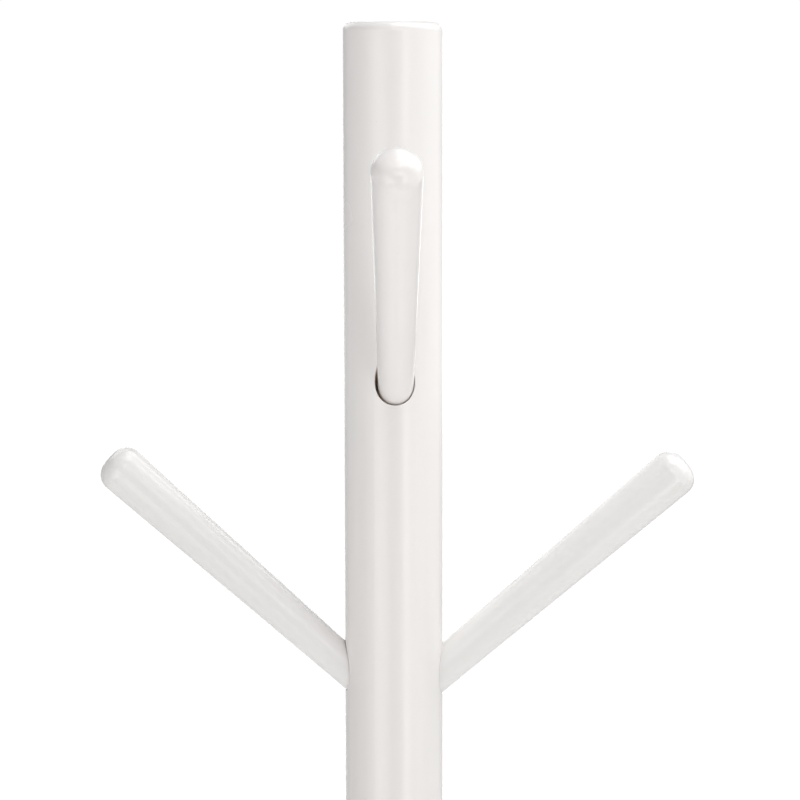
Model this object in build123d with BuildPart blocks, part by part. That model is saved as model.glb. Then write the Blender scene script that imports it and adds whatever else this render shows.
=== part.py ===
from build123d import *
import os
from collections import namedtuple
from math import atan2, cos, radians, sin, sqrt

# Free-standing coat rack: a round lacquered post on a weighted disc, with four tapered pegs.
# Millimetres, +Z up. The origin is the centre of the floor face, and -Y is the front.

# ---- driving dimensions: post and base -------------------------------------------------
height = 1750.0            # floor to the flat top of the post
post_r = 25.0              # radius of the round post
post_edge = 4.3            # rounding of the post's top edge
section_count = 3          # screwed lengths that make up the post
seam_chamfer = 0.5         # chamfer on both sides of each seam

base_r = 190.0             # radius of the base disc
base_t = 26.0              # thickness of the base disc
base_edge = 8.0            # rounding of the disc's upper edge
base_lower_edge = 1.5      # chamfer of the disc's lower edge
socket_depth = 6.0         # how far the post sinks into the disc
socket_gap = 0.3           # round the post in that socket
socket_edge = 0.6          # chamfer of the socket's mouth

felt_t = 2.5               # felt ring under the disc, which is what touches the floor
felt_r = 185.0
felt_hole_r = 24.0         # leaves the key way in to the centre bolt

weight_r = 150.0           # steel weight let into the underside of the disc
weight_t = 8.0
weight_gap = 0.5
weight_hole_r = 20.0       # room for the centre bolt's head and washers
weight_edge = 0.8

# ---- driving dimensions: pegs ----------------------------------------------------------
# A peg's axis starts on the post's axis and rises outwards. Distances along it are counted
# from the post's axis. The pegs are turned and sanded by hand, so they differ a little.
peg_dome_r = 30.0          # crown of the blunt tip
peg_edge = 9.0             # rounding between the taper and the crown
peg_inner_edge = 0.8       # chamfer of the hidden inner end
bore_r = 9.9               # angled hole that the peg's root sits in, with play all round
bore_floor = 17.0          # from the post's axis to the flat floor of that hole
bore_edge = 0.4            # soft edge that the lacquer gives the hole's mouth
upper_level = height - 199.4
lower_level = height - 349.4

# heading from +X in degrees, level on the post's axis, how far the hole misses that axis
# sideways, tilt above the horizontal, radius where the peg leaves the post, radius that the
# taper reaches at the tip, reach to the tip, and sideways play in the hole
Peg = namedtuple("Peg", "heading level miss tilt root_r tip_r reach play")
pegs = {
    "peg_front": Peg(-90.65, upper_level + 0.45, 0.6, 43.3, 9.1, 12.3, 200.0, 0.55),
    "peg_back": Peg(90.0, upper_level, 0.0, 42.0, 9.2, 12.6, 196.0, 0.0),
    "peg_left": Peg(180.0, lower_level, 0.0, 42.2, 9.2, 12.6, 194.6, 0.0),
    "peg_right": Peg(0.0, lower_level - 0.4, 0.0, 40.55, 9.8, 12.6, 195.9, 0.0),
}

# ---- driving dimensions: fasteners -----------------------------------------------------
thread_gap = 0.05          # between the crest of a thread and the wall round it
bolt_play = 0.5            # round a bolt where it only passes through
end_gap = 1.0              # empty space past the hidden end of a bolt or dowel
cut_past = 1.0             # how far a slot's cut runs past the sides of a head

machine_pitch = 1.25       # every machine thread, near the coarse pitches of M6 to M10
machine_depth = 0.45
wood_pitch = 2.4           # coarser and deeper where the thread holds in wood
wood_depth = 0.7
end_taper = 0.25           # chamfer at a machine thread's end, as a share of the radius
point_taper = 1.6          # length of a wood thread's point, as a share of the radius
point_blunt = 0.1          # and what is left of the radius at its end

insert_pitch = 2.0         # knife thread round the inserts
insert_depth = 0.8
insert_lead = 0.8          # plain end that goes in first
insert_lead_inset = 1.2    # and how much slimmer it is than the knife thread
insert_collar = 1.6        # plain collar at the end that shows before assembly
insert_collar_inset = 0.3
insert_slot = 1.4          # width and depth of the driver slot across it

peg_bolt_r = 3.0           # M6 hanger bolt: machine thread in the post, wood thread in the peg
peg_bolt_inner = 5.6       # from the post's axis to the bolt's inner end
peg_bolt_outer = 42.0      # and to its outer end
peg_insert_r = 4.5
peg_insert_inner = 5.0

stud_r = 5.0               # M10 hanger bolt from each section of the post down into the next
stud_wood = 36.0
stud_machine = 24.0
stud_insert_r = 7.5
stud_insert_t = 28.0

bolt_r = 4.0               # M8 button-head bolt, up through the disc into the post
bolt_t = 45.0
bolt_head_r = 7.0
bolt_head_t = 4.2
bolt_head_edge = 1.6
bolt_key = 5.0             # across the flats of its key socket
bolt_key_depth = 2.6
bolt_insert_r = 6.0
bolt_insert_t = 25.0
flat_washer_r = 16.0
flat_washer_t = 2.0
spring_washer_r = 7.0
spring_washer_t = 2.0
spring_washer_cut = 1.5

dowel_r = 4.0              # two plain dowels keep the post from turning on the disc
dowel_offset = 15.0
dowel_in_base = 9.0
dowel_in_post = 12.0
dowel_edge = 0.8

screw_count = 6            # countersunk screws that hold the weight
screw_circle_r = 115.0
screw_r = 2.0
screw_head_r = 4.0
screw_head_t = 2.0
screw_t = 20.0
screw_pitch = 1.6
screw_depth = 0.5
screw_slot = 1.2
screw_slot_depth = 1.0

# ---- levels that follow ----------------------------------------------------------------
base_bottom = felt_t
base_top = base_bottom + base_t
web_bottom = base_bottom + weight_t              # underside of the disc inside the recess
post_foot = base_top - socket_depth
section_t = (height - post_foot) / section_count
lower_seam = post_foot + section_t
upper_seam = lower_seam + section_t
washer_bottom = web_bottom - flat_washer_t
bolt_seat = washer_bottom - spring_washer_t      # underside of both washers
bolt_end = bolt_seat + bolt_t
screw_end = base_bottom + screw_t


def upright_at(x, y):
    """Profile plane on a vertical line: local X is the radius and local Y the height."""
    return Plane(origin=(x, y, 0), x_dir=(1, 0, 0), z_dir=(0, -1, 0))


upright = upright_at(0, 0)


def bore_line(peg):
    """Plane on the axis of a peg's hole: local Y runs out along it, and local X is level."""
    outward = Vector(cos(radians(peg.heading)), sin(radians(peg.heading)), 0)
    sideways = Vector(0, 0, 1).cross(outward)
    along = outward * cos(radians(peg.tilt)) + Vector(0, 0, sin(radians(peg.tilt)))
    origin = Vector(0, 0, peg.level) + sideways * peg.miss
    return Plane(origin, x_dir=sideways, z_dir=sideways.cross(along))


def peg_line(peg):
    """The same plane on the peg's own axis, which has some play in the hole."""
    line = bore_line(peg)
    return Plane(line.origin + line.x_dir * peg.play, x_dir=line.x_dir, z_dir=line.z_dir)


def cross_plane(plane, distance):
    """Plane square to a profile plane's local Y, at a distance along it."""
    return Plane(plane.origin + plane.y_dir * distance, x_dir=plane.x_dir, z_dir=plane.y_dir)


def turn(plane, points):
    """Add the solid turned from (radius, distance) points about the plane's local Y."""
    with BuildSketch(plane) as half:
        with BuildLine():
            Polyline((0, points[0][1]), *points, (0, points[-1][1]), close=True)
        make_face()
    revolve(half.sketch, axis=Axis(plane.origin, plane.y_dir))


def drill(plane, start, end, radius):
    """Cut a round hole between two distances along a profile plane's local Y."""
    with BuildSketch(cross_plane(plane, start)) as circle:
        Circle(radius)
    extrude(circle.sketch, amount=end - start, mode=Mode.SUBTRACT)


def thread(start, end, crest, pitch, depth):
    """Corners of a row of thread ridges between two distances."""
    count = round((end - start) / pitch)
    step = (end - start) / count
    corners = [(crest - depth, start)]
    for n in range(count):
        corners += [(crest, start + (n + 0.5) * step), (crest - depth, start + (n + 1) * step)]
    return corners


def hanger_bolt(plane, start, joint, end, radius):
    """Double-ended bolt: machine thread up to the joint, and a pointed wood thread past it."""
    taper = end_taper * radius
    point = end - point_taper * radius
    turn(plane, [
        (radius - taper, start),
        *thread(start + taper, joint - taper, radius, machine_pitch, machine_depth),
        (radius, joint),
        *thread(joint + taper, point, radius, wood_pitch, wood_depth),
        (point_blunt * radius, end),
    ])


def threaded_insert(plane, start, end, outer, inner):
    """Insert with a knife thread outside, a plain bore and a driver slot across its end."""
    collar = end - insert_collar
    turn(plane, [
        (outer - insert_lead_inset, start),
        *thread(start + insert_lead, collar, outer, insert_pitch, insert_depth),
        (outer - insert_collar_inset, collar),
        (outer - insert_collar_inset, end),
    ])
    drill(plane, start, end, inner)
    with BuildSketch(cross_plane(plane, end)) as slot:
        Rectangle(2 * outer + cut_past, insert_slot)
    extrude(slot.sketch, amount=-insert_slot, mode=Mode.SUBTRACT)


os.makedirs("parts", exist_ok=True)


def save(part, name):
    part.label = name
    export_step(part, f"parts/{name}.step")


# ---- post: three lengths screwed end to end --------------------------------------------
with BuildPart() as post_bottom_section:
    with BuildSketch(Plane.XY.offset(post_foot)):
        Circle(post_r)
    extrude(amount=section_t)
    chamfer(post_bottom_section.edges().filter_by(GeomType.CIRCLE), seam_chamfer)
    drill(upright, post_foot, post_foot + bolt_insert_t, bolt_insert_r + thread_gap)
    drill(upright, post_foot + bolt_insert_t, bolt_end + end_gap, bolt_r + bolt_play)
    drill(upright, lower_seam - stud_insert_t, lower_seam, stud_insert_r + thread_gap)
    with BuildSketch(Plane.XY.offset(post_foot)):
        with Locations((dowel_offset, 0), (-dowel_offset, 0)):
            Circle(dowel_r)
    extrude(amount=dowel_in_post + end_gap, mode=Mode.SUBTRACT)
save(post_bottom_section.part, "post_bottom_section")

with BuildPart() as post_middle_section:
    with BuildSketch(Plane.XY.offset(lower_seam)):
        Circle(post_r)
    extrude(amount=section_t)
    chamfer(post_middle_section.edges().filter_by(GeomType.CIRCLE), seam_chamfer)
    drill(upright, lower_seam, lower_seam + stud_wood + end_gap, stud_r + thread_gap)
    drill(upright, upper_seam - stud_insert_t, upper_seam, stud_insert_r + thread_gap)
save(post_middle_section.part, "post_middle_section")

with BuildPart() as post_top_section:
    with BuildSketch(Plane.XY.offset(upper_seam)):
        Circle(post_r)
    extrude(amount=section_t)
    rims = post_top_section.edges().filter_by(GeomType.CIRCLE).sort_by(Axis.Z)
    chamfer(rims[0], seam_chamfer)
    fillet(rims[-1], post_edge)
    for peg in pegs.values():
        drill(bore_line(peg), bore_floor, 3 * post_r, bore_r)
    mouths = post_top_section.edges().filter_by(GeomType.BSPLINE)
    fillet(mouths, bore_edge)
    for peg in pegs.values():
        drill(peg_line(peg), peg_insert_inner, bore_floor, peg_insert_r + thread_gap)
    drill(upright, upper_seam, upper_seam + stud_wood + end_gap, stud_r + thread_gap)
save(post_top_section.part, "post_top_section")

with BuildPart() as post_studs:
    for seam in (lower_seam, upper_seam):
        hanger_bolt(upright, seam - stud_machine, seam, seam + stud_wood, stud_r)
save(post_studs.part, "post_studs")

with BuildPart() as post_inserts:
    for seam in (lower_seam, upper_seam):
        threaded_insert(upright, seam - stud_insert_t, seam, stud_insert_r, stud_r + thread_gap)
save(post_inserts.part, "post_inserts")

# ---- pegs: tapered bars, thicker at the blunt outer end --------------------------------
for name, peg in pegs.items():
    line = peg_line(peg)
    surface = post_r / cos(radians(peg.tilt))
    slope = (peg.tip_r - peg.root_r) / (peg.reach - surface)
    inner_r = peg.root_r - slope * (surface - bore_floor)
    # the taper meets the crown at the height over the crown's centre where their radii agree
    dome_centre = peg.reach - peg_dome_r
    taper_r = peg.tip_r - slope * peg_dome_r
    square = 1 + slope ** 2
    over = (sqrt(square * peg_dome_r ** 2 - taper_r ** 2) - taper_r * slope) / square
    rim = (taper_r + slope * over, dome_centre + over)
    half_angle = atan2(rim[0], over) / 2
    crown = (peg_dome_r * sin(half_angle), dome_centre + peg_dome_r * cos(half_angle))
    with BuildPart() as turned_peg:
        with BuildSketch(line) as half:
            with BuildLine():
                Polyline((0, peg.reach), (0, bore_floor), (inner_r - peg_inner_edge, bore_floor),
                         (inner_r, bore_floor + peg_inner_edge), rim)
                ThreePointArc(rim, crown, (0, peg.reach))
            make_face()
        revolve(half.sketch, axis=Axis(line.origin, line.y_dir))
        fillet(turned_peg.edges().filter_by(GeomType.CIRCLE).sort_by(SortBy.LENGTH)[-1], peg_edge)
        drill(line, bore_floor, peg_bolt_outer + end_gap, peg_bolt_r + thread_gap)
    save(turned_peg.part, name)

with BuildPart() as peg_hanger_bolts:
    for peg in pegs.values():
        hanger_bolt(peg_line(peg), peg_bolt_inner, bore_floor, peg_bolt_outer, peg_bolt_r)
save(peg_hanger_bolts.part, "peg_hanger_bolts")

with BuildPart() as peg_inserts:
    for peg in pegs.values():
        threaded_insert(peg_line(peg), peg_insert_inner, bore_floor, peg_insert_r,
                        peg_bolt_r + thread_gap)
save(peg_inserts.part, "peg_inserts")

# ---- base: lacquered disc, steel weight and felt ---------------------------------------
with BuildPart() as base_disc:
    with BuildSketch(Plane.XY.offset(base_bottom)):
        Circle(base_r)
    extrude(amount=base_t)
    rims = base_disc.edges().filter_by(GeomType.CIRCLE).sort_by(Axis.Z)
    chamfer(rims[0], base_lower_edge)
    fillet(rims[-1], base_edge)
    drill(upright, post_foot, base_top, post_r + socket_gap)
    chamfer(base_disc.edges().filter_by(GeomType.CIRCLE).group_by(Axis.Z)[-1]
            .sort_by(SortBy.RADIUS)[0], socket_edge)
    drill(upright, base_bottom, web_bottom, weight_r + weight_gap)
    drill(upright, web_bottom, post_foot, bolt_r + bolt_play)
    with BuildSketch(Plane.XY.offset(post_foot)):
        with Locations((dowel_offset, 0), (-dowel_offset, 0)):
            Circle(dowel_r)
    extrude(amount=-(dowel_in_base + end_gap), mode=Mode.SUBTRACT)
    with BuildSketch(Plane.XY.offset(web_bottom)):
        with PolarLocations(screw_circle_r, screw_count):
            Circle(screw_r + thread_gap)
    extrude(amount=screw_end + end_gap - web_bottom, mode=Mode.SUBTRACT)
save(base_disc.part, "base_disc")

with BuildPart() as base_weight:
    with BuildSketch(Plane.XY.offset(base_bottom)):
        Circle(weight_r)
        Circle(weight_hole_r, mode=Mode.SUBTRACT)
    extrude(amount=weight_t)
    chamfer(base_weight.edges().filter_by(GeomType.CIRCLE), weight_edge)
    with Locations(Plane(origin=(0, 0, base_bottom), z_dir=(0, 0, -1))):
        with PolarLocations(screw_circle_r, screw_count):
            CounterSinkHole(screw_r + thread_gap, screw_head_r + thread_gap)
save(base_weight.part, "base_weight")

with BuildPart() as weight_screws:
    for place in PolarLocations(screw_circle_r, screw_count):
        turn(upright_at(place.position.X, place.position.Y), [
            (screw_head_r, base_bottom),
            (screw_r, base_bottom + screw_head_t),
            *thread(web_bottom, screw_end - point_taper * screw_r, screw_r, screw_pitch,
                    screw_depth),
            (point_blunt * screw_r, screw_end),
        ])
    with BuildSketch(Plane.XY.offset(base_bottom)):
        with PolarLocations(screw_circle_r, screw_count):
            Rectangle(2 * screw_head_r + cut_past, screw_slot)
    extrude(amount=screw_slot_depth, mode=Mode.SUBTRACT)
save(weight_screws.part, "weight_screws")

with BuildPart() as base_felt:
    with BuildSketch():
        Circle(felt_r)
        Circle(felt_hole_r, mode=Mode.SUBTRACT)
    extrude(amount=felt_t)
save(base_felt.part, "base_felt")

# ---- base bolt, its washers, its insert and the dowels ---------------------------------
with BuildPart() as base_bolt:
    head_bottom = bolt_seat - bolt_head_t
    bolt_taper = end_taper * bolt_r
    turn(upright, [(bolt_head_r - bolt_head_edge, head_bottom),
                   (bolt_head_r, head_bottom + bolt_head_edge), (bolt_head_r, bolt_seat),
                   (bolt_r, bolt_seat),
                   *thread(post_foot, bolt_end - bolt_taper, bolt_r, machine_pitch, machine_depth),
                   (bolt_r - bolt_taper, bolt_end)])
    with BuildSketch(Plane.XY.offset(head_bottom)):
        RegularPolygon(bolt_key / 2, 6, major_radius=False)
    extrude(amount=bolt_key_depth, mode=Mode.SUBTRACT)
save(base_bolt.part, "base_bolt")

with BuildPart() as flat_washer:
    with BuildSketch(Plane.XY.offset(washer_bottom)):
        Circle(flat_washer_r)
        Circle(bolt_r + bolt_play, mode=Mode.SUBTRACT)
    extrude(amount=flat_washer_t)
save(flat_washer.part, "flat_washer")

with BuildPart() as spring_washer:
    with BuildSketch(Plane.XY.offset(bolt_seat)):
        Circle(spring_washer_r)
        Circle(bolt_r + bolt_play, mode=Mode.SUBTRACT)
        with Locations((spring_washer_r, 0)):
            Rectangle(2 * bolt_r, spring_washer_cut, mode=Mode.SUBTRACT)
    extrude(amount=spring_washer_t)
save(spring_washer.part, "spring_washer")

with BuildPart() as base_insert:
    threaded_insert(upright, post_foot, post_foot + bolt_insert_t, bolt_insert_r,
                    bolt_r + thread_gap)
save(base_insert.part, "base_insert")

with BuildPart() as base_dowels:
    with BuildSketch(Plane.XY.offset(post_foot - dowel_in_base)):
        with Locations((dowel_offset, 0), (-dowel_offset, 0)):
            Circle(dowel_r - thread_gap)
    extrude(amount=dowel_in_base + dowel_in_post)
    chamfer(base_dowels.edges().filter_by(GeomType.CIRCLE), dowel_edge)
save(base_dowels.part, "base_dowels")
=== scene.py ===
import math

import bpy
from mathutils import Matrix, Vector


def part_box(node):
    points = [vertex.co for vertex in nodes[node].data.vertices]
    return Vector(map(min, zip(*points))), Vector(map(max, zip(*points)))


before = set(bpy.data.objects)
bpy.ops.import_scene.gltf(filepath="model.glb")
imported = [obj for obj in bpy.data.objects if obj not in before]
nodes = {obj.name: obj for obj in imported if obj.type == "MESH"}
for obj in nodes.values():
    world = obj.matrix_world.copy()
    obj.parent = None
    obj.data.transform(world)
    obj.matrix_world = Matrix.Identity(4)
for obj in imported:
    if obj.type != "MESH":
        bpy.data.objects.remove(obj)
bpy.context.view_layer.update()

# ---- places taken from the frame, in metres --------------------------------------------
POST_LOW, POST_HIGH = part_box("post_top_section")
POST_R = 0.5 * (POST_HIGH.x - POST_LOW.x)
TOP = POST_HIGH.z
SEAMS = (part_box("post_middle_section")[0].z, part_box("post_middle_section")[1].z)
BELOW_PEGS, OVER_PEG_LOW = 0.03, 0.06             # from the lowest points of pegs
BORES_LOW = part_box("peg_right")[0].z - BELOW_PEGS         # every peg's hole lies between
BORES_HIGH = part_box("peg_front")[0].z + OVER_PEG_LOW      # these two levels
WEIGHT_GAP, MASK_EDGE = 0.001, 0.0002             # round the weight; soft edge of a mask
RECESS_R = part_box("base_weight")[1].x + WEIGHT_GAP        # recess under the base disc
RECESS_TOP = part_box("base_weight")[1].z + MASK_EDGE
PEG_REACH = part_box("peg_right")[1].x              # how far out the pegs' ends are

# ---- camera ----------------------------------------------------------------------------
CAMERA_DISTANCE = 1.4156      # from the post's axis, on the level
CAMERA_DROP = 0.0062          # below the top of the post
CAMERA_SIDE = 0.00335         # to the right of the post's axis
CAMERA_PITCH = 7.397          # degrees below the level
CAMERA_ROLL = -0.105
RACK_TURN = 1.082             # the rack stands turned this much to the camera
LENS = 126.79
SENSOR = 36.0
CLIP_END = 100.0


def make_camera():
    data = bpy.data.cameras.new("camera")
    data.lens = LENS
    data.sensor_width = SENSOR
    data.clip_end = CLIP_END
    camera = bpy.data.objects.new("camera", data)
    bpy.context.scene.collection.objects.link(camera)
    pitch, roll = math.radians(CAMERA_PITCH), math.radians(CAMERA_ROLL)
    forward = Vector((0.0, math.cos(pitch), -math.sin(pitch)))
    level_right = Vector((1.0, 0.0, 0.0))
    level_up = level_right.cross(forward)
    right = math.cos(roll) * level_right + math.sin(roll) * level_up
    up = math.cos(roll) * level_up - math.sin(roll) * level_right
    axes = Matrix((right, up, -forward)).transposed().to_4x4()
    place = Matrix.Translation((CAMERA_SIDE, -CAMERA_DISTANCE, TOP - CAMERA_DROP))
    camera.matrix_world = Matrix.Rotation(math.radians(-RACK_TURN), 4, "Z") @ place @ axes
    bpy.context.scene.camera = camera


# ---- studio: a ring of soft light walls, two top lights and a white sweep ---------------
RING_R = 1.5                  # the walls stand on this circle round the post
PANEL_ANGLE = 30.0            # widest flat panel of a wall, in degrees of the circle
WALL_LOW, WALL_MID, WALL_UPPER, WALL_HIGH = 0.65, 1.35, 2.05, 2.75
BACKDROP_GLOW = 1.02          # what the camera sees behind everything

# name: (from, to) in degrees round the post, 0 towards the camera and positive to the
# right, lower and upper level, and radiance. The radiances here, in TOPS and of the sweep
# come from a least-squares fit of one light at a time, rounded; back_fill's is given
WALLS = {
    "left_outer": (-60.0, -44.5, WALL_LOW, WALL_UPPER, 1.1),
    "left_strip": (-44.5, -29.5, WALL_LOW, WALL_UPPER, 1.67),
    "left_inner": (-29.5, -14.0, WALL_LOW, WALL_UPPER, 1.15),
    "left_high": (-60.0, -14.0, WALL_UPPER, WALL_HIGH, 0.15),
    "front": (-8.0, 21.0, WALL_MID, WALL_UPPER, 0.24),
    "front_high": (-8.0, 21.0, WALL_UPPER, WALL_HIGH, 2.2),
    "right_strip": (21.0, 35.0, WALL_LOW, WALL_UPPER, 1.89),
    "right_outer": (35.0, 74.0, WALL_LOW, WALL_UPPER, 0.69),
    "right_outer_high": (21.0, 74.0, WALL_UPPER, WALL_HIGH, 0.56),
    "right_side_low": (75.0, 135.0, WALL_LOW, WALL_MID, 0.25),
    "right_side": (75.0, 135.0, WALL_MID, WALL_UPPER, 0.84),
    "right_side_high": (75.0, 135.0, WALL_UPPER, WALL_HIGH, 2.05),
    "back": (135.0, 194.0, WALL_MID, WALL_HIGH, 0.38),
    "back_fill": (162.0, 198.0, WALL_LOW, WALL_UPPER, 1.5),
    "back_left": (-166.0, -130.0, WALL_MID, WALL_UPPER, 0.34),
    "back_left_high": (-166.0, -130.0, WALL_UPPER, WALL_HIGH, 1.47),
    "left_side": (-130.0, -60.0, WALL_MID, WALL_UPPER, 0.49),
    "left_side_low": (-166.0, -60.0, WALL_LOW, WALL_MID, 0.1),
}
# the walls within these angles are a little rosier than the rest
ROSY_FROM, ROSY_TO = -60.0, 74.0
ROSY_LIGHT = (1.0, 0.985, 0.982)
PLAIN_LIGHT = (1.0, 1.0, 1.0)
# name: middle to the right of the post, width, depth and radiance
TOP_LEVEL = 3.2
TOPS = {
    "top_right": (1.0, 2.0, 2.0, 2.67),
    "top_left": (-1.0, 2.0, 4.0, 0.62),
}


def area_light(name, place, target, width, height, radiance, tint=PLAIN_LIGHT):
    data = bpy.data.lights.new(name, "AREA")
    data.shape = "RECTANGLE"
    data.size, data.size_y = width, height
    data.energy = math.pi * width * height * radiance
    data.color = tint
    light = bpy.data.objects.new(name, data)
    bpy.context.scene.collection.objects.link(light)
    light.location = place
    light.rotation_euler = (Vector(target) - Vector(place)).to_track_quat("-Z", "Y").to_euler()
    light.visible_camera = False


def make_lights():
    for name, (start, end, low, high, radiance) in WALLS.items():
        count = math.ceil((end - start) / PANEL_ANGLE)
        angle = (end - start) / count
        for n in range(count):
            turn = math.radians(start + (n + 0.5) * angle)
            level = 0.5 * (low + high)
            place = (RING_R * math.sin(turn), -RING_R * math.cos(turn), level)
            tint = ROSY_LIGHT if ROSY_FROM <= start < ROSY_TO else PLAIN_LIGHT
            area_light(f"{name}_{n}", place, (0.0, 0.0, level), RING_R * math.radians(angle),
                       high - low, radiance, tint)
    for name, (middle, width, depth, radiance) in TOPS.items():
        area_light(name, (middle, 0.0, TOP_LEVEL), (middle, 0.0, 0.0), width, depth, radiance)


def make_world():
    """White for the camera only: the walls, top lights and sweep give all the light."""
    world = bpy.data.worlds.new("studio")
    bpy.context.scene.world = world
    world.use_nodes = True
    background = world.node_tree.nodes["Background"]
    background.inputs["Color"].default_value = (1.0, 1.0, 1.0, 1.0)
    background.inputs["Strength"].default_value = BACKDROP_GLOW
    world.cycles_visibility.diffuse = False
    world.cycles_visibility.glossy = False


# ---- materials -------------------------------------------------------------------------
class Look:
    """A material being built: short calls that add nodes and join their sockets."""

    def __init__(self, name):
        self.material = bpy.data.materials.new(name)
        self.material.use_nodes = True
        self.tree = self.material.node_tree
        self.shader = self.tree.nodes["Principled BSDF"]
        self.point = self.add("TexCoord").outputs["Object"]
        self.axes = self.add("SeparateXYZ", Vector=self.point).outputs
        across = self.math("ADD", self.math("MULTIPLY", self.axes["X"], self.axes["X"]),
                           self.math("MULTIPLY", self.axes["Y"], self.axes["Y"]))
        self.radius = self.math("SQRT", across)      # from the post's axis

    def add(self, kind, settings=None, **inputs):
        node = self.tree.nodes.new("ShaderNode" + kind)
        for key, value in (settings or {}).items():
            setattr(node, key, value)
        for key, value in inputs.items():
            self.feed(value, node.inputs[key.replace("_", " ")])
        return node

    def feed(self, value, socket):
        if isinstance(value, bpy.types.NodeSocket):
            self.tree.links.new(value, socket)
        else:
            socket.default_value = value

    def math(self, operation, *values):
        node = self.add("Math", {"operation": operation})
        for value, socket in zip(values, node.inputs):
            self.feed(value, socket)
        return node.outputs["Value"]

    def spread(self, value, low, high, start=0.0, end=1.0):
        """Value's range from low to high, stretched to start to end and held there."""
        node = self.add("MapRange", {"interpolation_type": "SMOOTHSTEP"}, Value=value)
        for key, number in (("From Min", low), ("From Max", high), ("To Min", start),
                            ("To Max", end)):
            node.inputs[key].default_value = number
        return node.outputs["Result"]

    def noise(self, scale, detail=2.0, stretch=(1.0, 1.0, 1.0), roughness=0.5):
        place = self.add("Mapping", Vector=self.point, Scale=stretch).outputs["Vector"]
        node = self.add("TexNoise", Vector=place, Scale=scale, Detail=detail,
                        Roughness=roughness)
        return node.outputs["Fac"]

    def blend(self, share, first, second):
        node = self.add("Mix", {"data_type": "RGBA"})
        self.feed(share, node.inputs[0])
        for value, socket in ((first, node.inputs[6]), (second, node.inputs[7])):
            self.feed(value if isinstance(value, bpy.types.NodeSocket) else (*value, 1.0), socket)
        return node.outputs[2]

    def blend_value(self, share, first, second):
        node = self.add("Mix", {"data_type": "FLOAT"})
        for value, socket in ((share, node.inputs[0]), (first, node.inputs[2]),
                              (second, node.inputs[3])):
            self.feed(value, socket)
        return node.outputs[0]

    def specks(self, scale, size, share):
        """Small round spots: one in some of the cells of a grid."""
        node = self.add("TexVoronoi", Vector=self.point, Scale=scale)
        near = self.math("LESS_THAN", node.outputs["Distance"], size)
        picked = self.add("SeparateColor", Color=node.outputs["Color"]).outputs["Red"]
        return self.math("MULTIPLY", near, self.math("LESS_THAN", picked, share))

    def relief(self, *layers):
        """Bump from (height, depth in metres) pairs, one on the other."""
        normal = None
        for height, depth in layers:
            node = self.add("Bump", Height=height, Distance=depth)
            if normal is not None:
                self.tree.links.new(normal, node.inputs["Normal"])
            normal = node.outputs["Normal"]
        self.tree.links.new(normal, self.shader.inputs["Normal"])

    def finish(self, color, roughness, **constants):
        self.feed(color, self.shader.inputs["Base Color"])
        self.feed(roughness, self.shader.inputs["Roughness"])
        for key, value in constants.items():
            self.shader.inputs[key.replace("_", " ")].default_value = value
        return self.material


# the post and its front peg are a little rosier than the other pegs
ROSY_WHITES = ((0.873, 0.847, 0.838), (0.857, 0.840, 0.827))
PLAIN_WHITES = ((0.861, 0.849, 0.841), (0.846, 0.841, 0.829))
NIB = (0.42, 0.38, 0.34)
GRIME = (0.50, 0.47, 0.43)
RUBBED = (0.80, 0.785, 0.755)
POLISH_FROM, POLISH_FULL = 0.022, 0.004           # in from the pegs' ends
POLISH_DEPTH = 0.05                               # off the roughness
DIRT_FULL, DIRT_TO = 0.0002, 0.0016               # either side of a seam
BARE_ROUGHNESS = 0.8
LACQUER_SPECULAR = 0.85
POST_SKIN, PEG_SKIN = 0.0006, 0.003               # bare wood is deeper than this in the post


def bare_wood(look, light, dark):
    """Colour and grain height of unpainted wood, its fibres upright."""
    grain = look.noise(900.0, 4.0, (1.0, 1.0, 0.03), 0.6)
    rings = look.noise(120.0, 2.0, (1.0, 1.0, 0.06))
    share = look.math("MULTIPLY", look.math("ADD", grain, rings), 0.5)
    return look.blend(look.spread(share, 0.3, 0.7), light, dark), grain


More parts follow.
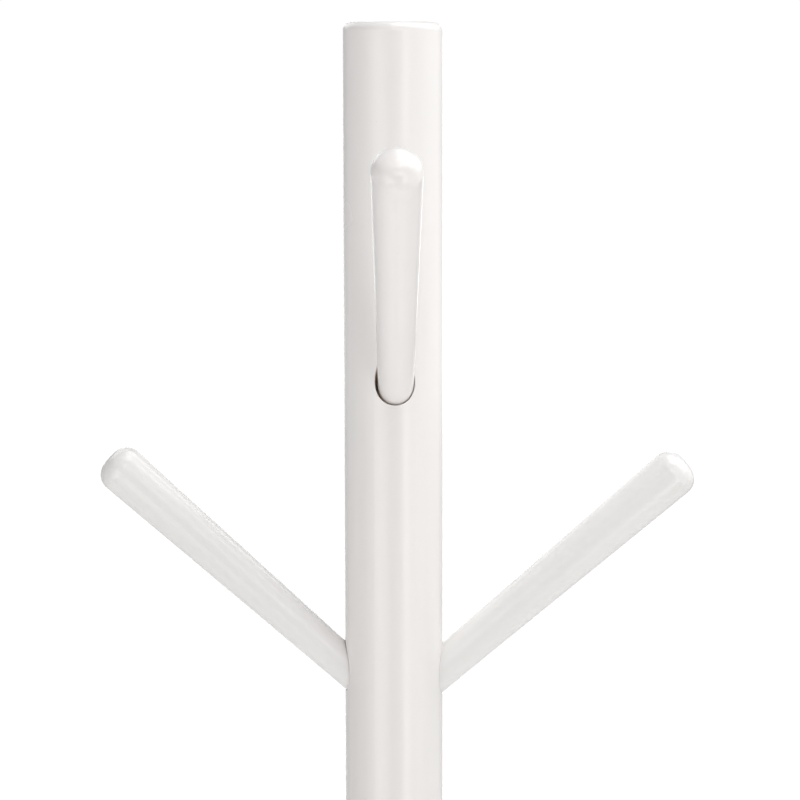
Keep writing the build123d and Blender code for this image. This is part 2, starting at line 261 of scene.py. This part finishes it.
def lacquer(name, whites, bare, bare_light, bare_dark):
    """Satin white lacquer; bare(look) says where the wood or board inside is unpainted."""
    look = Look(name)
    cloud = look.spread(look.noise(7.0, 3.0), 0.3, 0.7)
    color = look.blend(cloud, *whites)
    mottle = look.spread(look.noise(60.0, 4.0, roughness=0.65), 0.35, 0.75, 0.0, 0.12)
    color = look.blend(mottle, color, RUBBED)
    # dust nibs under the last coat, and finer ones
    nibs = look.math("MAXIMUM", look.specks(70.0, 0.022, 0.30), look.specks(230.0, 0.035, 0.10))
    color = look.blend(look.math("MULTIPLY", nibs, 0.55), color, NIB)
    # the pegs' ends are polished by coats, and dirt collects beside the seams
    polish = look.spread(look.radius, PEG_REACH - POLISH_FROM, PEG_REACH - POLISH_FULL)
    polish = look.math("MULTIPLY", polish, look.math("GREATER_THAN", look.axes["Z"], BORES_LOW))
    rub = look.math("MULTIPLY", polish, look.spread(look.noise(160.0, 3.0), 0.4, 0.7, 0.0, 0.35))
    color = look.blend(rub, color, RUBBED)
    for seam in SEAMS:
        gap = look.math("ABSOLUTE", look.math("SUBTRACT", look.axes["Z"], seam))
        dirt = look.math("MULTIPLY", look.spread(gap, DIRT_FULL, DIRT_TO, 1.0, 0.0),
                         look.spread(look.noise(90.0, 3.0), 0.3, 0.7, 0.15, 0.55))
        color = look.blend(dirt, color, GRIME)
    sheen = look.spread(look.noise(11.0, 4.0), 0.25, 0.75, 0.235, 0.275)
    sheen = look.math("SUBTRACT", sheen, look.math("MULTIPLY", polish, POLISH_DEPTH))

    inside = bare(look)
    raw, grain = bare_wood(look, bare_light, bare_dark)
    peel = look.noise(520.0, 2.0)
    look.relief((look.noise(26.0, 2.0), 0.00006), (peel, 0.000012),
                (look.math("MULTIPLY", grain, inside), 0.0004))
    return look.finish(look.blend(inside, color, raw),
                       look.blend_value(inside, sheen, BARE_ROUGHNESS),
                       Specular_IOR_Level=LACQUER_SPECULAR)


def in_bores(depth):
    """Mask of what lies deeper than this inside the post, at the levels of the pegs' holes."""
    def mask(look):
        deep = look.spread(look.radius, POST_R - depth - MASK_EDGE, POST_R - depth, 1.0, 0.0)
        above = look.math("GREATER_THAN", look.axes["Z"], BORES_LOW)
        below = look.math("LESS_THAN", look.axes["Z"], BORES_HIGH)
        return look.math("MULTIPLY", deep, look.math("MULTIPLY", above, below))
    return mask


def in_recess(look):
    low = look.math("LESS_THAN", look.axes["Z"], RECESS_TOP)
    return look.math("MULTIPLY", low, look.math("LESS_THAN", look.radius, RECESS_R))


def felt():
    look = Look("grey_felt_fibres")
    fibres = look.noise(1400.0, 6.0, (1.0, 0.16, 1.0), 0.7)
    crossed = look.noise(1400.0, 6.0, (0.16, 1.0, 1.0), 0.7)
    tangle = look.math("MAXIMUM", fibres, crossed)
    color = look.blend(look.spread(tangle, 0.45, 0.75), (0.10, 0.10, 0.105), (0.30, 0.295, 0.29))
    color = look.blend(look.spread(look.noise(22.0, 3.0), 0.4, 0.8, 0.0, 0.4), color,
                       (0.20, 0.19, 0.175))
    look.relief((look.noise(90.0, 3.0), 0.0003), (tangle, 0.0006))
    return look.finish(color, look.spread(tangle, 0.3, 0.7, 0.98, 0.85), Sheen_Weight=0.35,
                       Sheen_Roughness=0.6)


def weight_iron():
    look = Look("cast_weight")
    skin = look.noise(420.0, 5.0, roughness=0.65)
    patches = look.noise(16.0, 4.0)
    color = look.blend(look.spread(patches, 0.35, 0.7), (0.075, 0.076, 0.08), (0.13, 0.125, 0.12))
    color = look.blend(look.spread(skin, 0.62, 0.8, 0.0, 0.7), color, (0.20, 0.12, 0.08))
    look.relief((look.noise(45.0, 3.0), 0.0003), (skin, 0.0002))
    return look.finish(color, look.spread(skin, 0.3, 0.7, 0.45, 0.7), Metallic=0.8)


def zinc():
    look = Look("zinc_plate")
    spangle = look.add("TexVoronoi", Vector=look.point, Scale=700.0).outputs["Color"]
    flake = look.add("SeparateColor", Color=spangle).outputs["Red"]
    color = look.blend(flake, (0.60, 0.62, 0.64), (0.76, 0.77, 0.77))
    stain = look.spread(look.noise(150.0, 4.0), 0.5, 0.8, 0.0, 0.5)
    color = look.blend(stain, color, (0.62, 0.58, 0.48))
    turned = look.noise(1800.0, 2.0, (0.15, 0.15, 1.0))
    look.relief((turned, 0.00003), (look.noise(700.0, 3.0), 0.00002))
    roughness = look.math("ADD", look.spread(flake, 0.0, 1.0, 0.26, 0.36),
                          look.math("MULTIPLY", stain, 0.25))
    return look.finish(color, roughness, Metallic=1.0)


def beech():
    look = Look("beech_dowel")
    color, grain = bare_wood(look, (0.66, 0.47, 0.30), (0.50, 0.33, 0.19))
    flecks = look.spread(look.noise(2600.0, 1.0, (1.0, 1.0, 0.12)), 0.66, 0.74, 0.0, 0.7)
    color = look.blend(flecks, color, (0.33, 0.19, 0.10))
    look.relief((grain, 0.0001))
    return look.finish(color, look.spread(grain, 0.2, 0.8, 0.5, 0.68))


SHEET_SIDES = 96


def stage_plane(name, radius, level):
    """A flat round sheet of the studio."""
    turns = [2 * math.pi * n / SHEET_SIDES for n in range(SHEET_SIDES)]
    ring = [(radius * math.cos(turn), radius * math.sin(turn), level) for turn in turns]
    mesh = bpy.data.meshes.new(name)
    mesh.from_pydata(ring, [], [tuple(range(SHEET_SIDES))])
    plane = bpy.data.objects.new(name, mesh)
    bpy.context.scene.collection.objects.link(plane)
    return plane


FLOOR_R = 5.0
SWEEP_R = 20.0
SWEEP_DROP = 0.001
SWEEP_GLOW = 0.38
SWEEP_WHITE = (0.9, 0.9, 0.9)
FADE_FROM, FADE_TO = 0.3, 2.6                     # from the post, the floor fades to white
GLOW_NEAR, GLOW_FAR = 0.5, 1.05


def make_floor():
    """The floor that the camera sees, fading into the white studio, and the sweep's bounce."""
    floor = stage_plane("floor", FLOOR_R, 0.0)
    look = Look("pale_floor")
    fade = look.spread(look.radius, FADE_FROM, FADE_TO)
    glow = look.spread(fade, 0.0, 1.0, GLOW_NEAR, GLOW_FAR)
    look.feed(glow, look.shader.inputs["Emission Strength"])
    look.shader.inputs["Emission Color"].default_value = (1.0, 1.0, 1.0, 1.0)
    shade = look.blend(look.spread(look.noise(3.0, 3.0), 0.3, 0.7), (0.86, 0.855, 0.85),
                       (0.88, 0.88, 0.875))
    floor.data.materials.append(look.finish(shade, 0.75))
    floor.visible_diffuse = False
    floor.visible_glossy = False
    floor.visible_shadow = False

    sweep = stage_plane("sweep_bounce", SWEEP_R, -SWEEP_DROP)
    white = Look("sweep_white")
    white.shader.inputs["Emission Color"].default_value = (1.0, 0.99, 0.97, 1.0)
    white.shader.inputs["Emission Strength"].default_value = SWEEP_GLOW
    sweep.data.materials.append(white.finish((*SWEEP_WHITE, 1.0), 0.6))
    sweep.visible_camera = False


def dress_nodes():
    fresh_wood = ((0.82, 0.68, 0.54), (0.66, 0.52, 0.40))
    brown_board = ((0.42, 0.30, 0.20), (0.30, 0.20, 0.13))
    post = lacquer("white_lacquer_post", ROSY_WHITES, in_bores(POST_SKIN), *fresh_wood)
    front = lacquer("white_lacquer_front_peg", ROSY_WHITES, in_bores(PEG_SKIN), *fresh_wood)
    peg = lacquer("white_lacquer_peg", PLAIN_WHITES, in_bores(PEG_SKIN), *fresh_wood)
    disc = lacquer("white_lacquer_disc", ROSY_WHITES, in_recess, *brown_board)
    looks = {"white_lacquered_wood": post, "white_lacquered_board": disc, "grey_felt": felt(),
             "weight_steel": weight_iron(), "zinc_steel": zinc(), "plain_beech": beech()}
    pegs = {"peg_front": front, "peg_back": peg, "peg_left": peg, "peg_right": peg}
    for name, node in nodes.items():
        for slot in node.material_slots:
            wanted = slot.material.name
            slot.link = "OBJECT"
            slot.material = pegs.get(name, looks[wanted])


make_camera()
make_world()
make_floor()
make_lights()
dress_nodes()
bpy.context.scene.view_settings.view_transform = "Standard"
